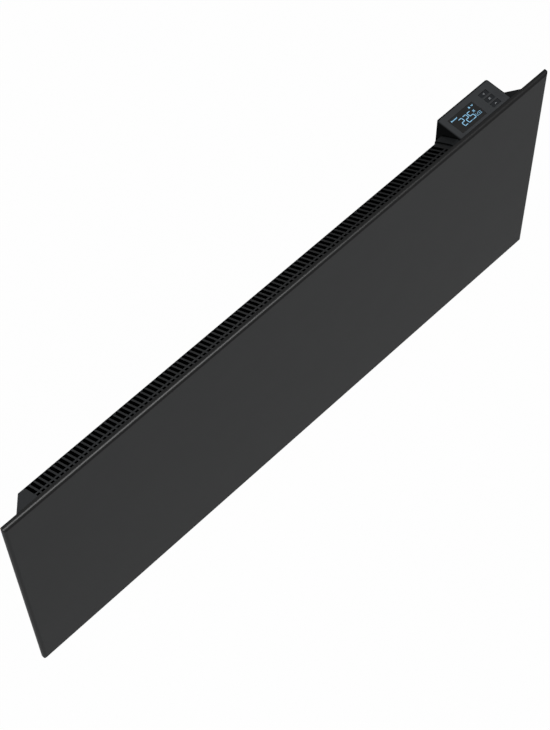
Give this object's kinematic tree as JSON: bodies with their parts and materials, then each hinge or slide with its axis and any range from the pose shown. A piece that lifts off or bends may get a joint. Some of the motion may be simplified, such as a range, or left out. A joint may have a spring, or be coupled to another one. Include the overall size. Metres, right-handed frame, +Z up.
{
  "type": "wall panel convector heater",
  "caption": "Flat wall-hung electric convector: a wide steel front panel on a sloped slotted casing, with a display and push buttons at its upper right corner.",
  "frame": {"origin": "on the wall's surface, at the middle of the bracket's four wall screw holes", "axes": "+X along the heater to the right as one faces it, +Y into the wall, +Z up"},
  "size_m": [0.957, 0.07, 0.4],
  "materials": {
    "panel_paint": "fine matt powder coat",
    "casing_paint": "fine matt powder coat",
    "control_plastic": "fine matt texture",
    "base_plastic": "fine matt texture",
    "button_plastic": "smooth matt",
    "rocker_plastic": "smooth matt",
    "lens_plastic": "smooth dark window",
    "display_cell": "smooth",
    "board": "solder mask",
    "relay_plastic": "smooth",
    "part_plastic": "smooth",
    "screen_metal": "tinned",
    "bracket_steel": "grey primer coat",
    "latch_steel": "yellow passivated zinc",
    "zinc_steel": "zinc plated",
    "shield_steel": "aluminised",
    "element_aluminium": "extruded",
    "rod_steel": "heat tinted",
    "ceramic": "steatite",
    "brass": "plain",
    "bimetal_case": "phenolic",
    "block_plastic": "polyamide",
    "gland_plastic": "polyamide",
    "rubber": "moulded",
    "wire_brown": "insulation",
    "wire_blue": "insulation",
    "wire_black": "insulation",
    "sensor_bead": "resin"
  },
  "bodies": {
    "heater": {"front_panel": "panel_paint", "panel_bosses": "zinc_steel", "flange_screws": "zinc_steel", "rear_casing": "casing_paint", "heat_shield": "shield_steel", "shield_rivets": "zinc_steel", "element_fins": "element_aluminium", "element_rod": "rod_steel", "element_bushes": "ceramic", "element_tabs": "brass", "element_hangers": "shield_steel", "thermal_cutouts": "bimetal_case", "terminal_block": "block_plastic", "terminal_screws": "brass", "earth_stud": "brass", "cable_gland": "gland_plastic", "gland_nut": "gland_plastic", "wire_live": "wire_brown", "wire_neutral": "wire_blue", "wire_switched": "wire_black", "wire_link": "wire_black", "wire_feed": "wire_black", "wire_return": "wire_blue", "wire_grommet": "rubber", "air_sensor": "sensor_bead", "control_base": "base_plastic", "control_cover": "control_plastic", "control_screws": "zinc_steel", "display_lens": "lens_plastic", "display_module": "display_cell", "logic_board": "board", "tact_switches": "part_plastic", "radio_module": "screen_metal", "power_board": "board", "power_relay": "relay_plastic", "power_parts": "part_plastic", "rocker_frame": "rocker_plastic", "upright_left": "bracket_steel", "upright_right": "bracket_steel", "strip_top": "bracket_steel", "strip_bottom": "bracket_steel", "strip_rivets": "zinc_steel", "latch_pins": "zinc_steel", "bumpers": "rubber"},
    "button_plus": {"button_plus": "button_plastic"},
    "button_menu": {"button_menu": "button_plastic"},
    "button_minus": {"button_minus": "button_plastic"},
    "rocker": {"rocker_cap": "rocker_plastic"},
    "latch_left": {"latch_left": "latch_steel"},
    "latch_right": {"latch_right": "latch_steel"}
  },
  "joints": [
    {"name": "button_plus_press", "type": "slide", "parent": "heater", "child": "button_plus", "axis": [0, 0, -1], "range_m": [0, 0.0006], "stiffness_N_per_m": 900},
    {"name": "button_menu_press", "type": "slide", "parent": "heater", "child": "button_menu", "axis": [0, 0, -1], "range_m": [0, 0.0006], "stiffness_N_per_m": 900},
    {"name": "button_minus_press", "type": "slide", "parent": "heater", "child": "button_minus", "axis": [0, 0, -1], "range_m": [0, 0.0006], "stiffness_N_per_m": 900},
    {"name": "mains_rocker_swing", "type": "hinge", "parent": "heater", "child": "rocker", "pos_m": [0.4097, -0.02627, 0.201], "axis": [0, 1, 0], "range_deg": [0, 16]},
    {"name": "latch_left_turn", "type": "hinge", "parent": "heater", "child": "latch_left", "pos_m": [-0.2, -0.016, 0.1318], "axis": [0, 0, -1], "range_deg": [0, 90]},
    {"name": "latch_right_turn", "type": "hinge", "parent": "heater", "child": "latch_right", "pos_m": [0.2, -0.016, 0.1318], "axis": [0, 0, 1], "range_deg": [0, 90]}
  ]
}
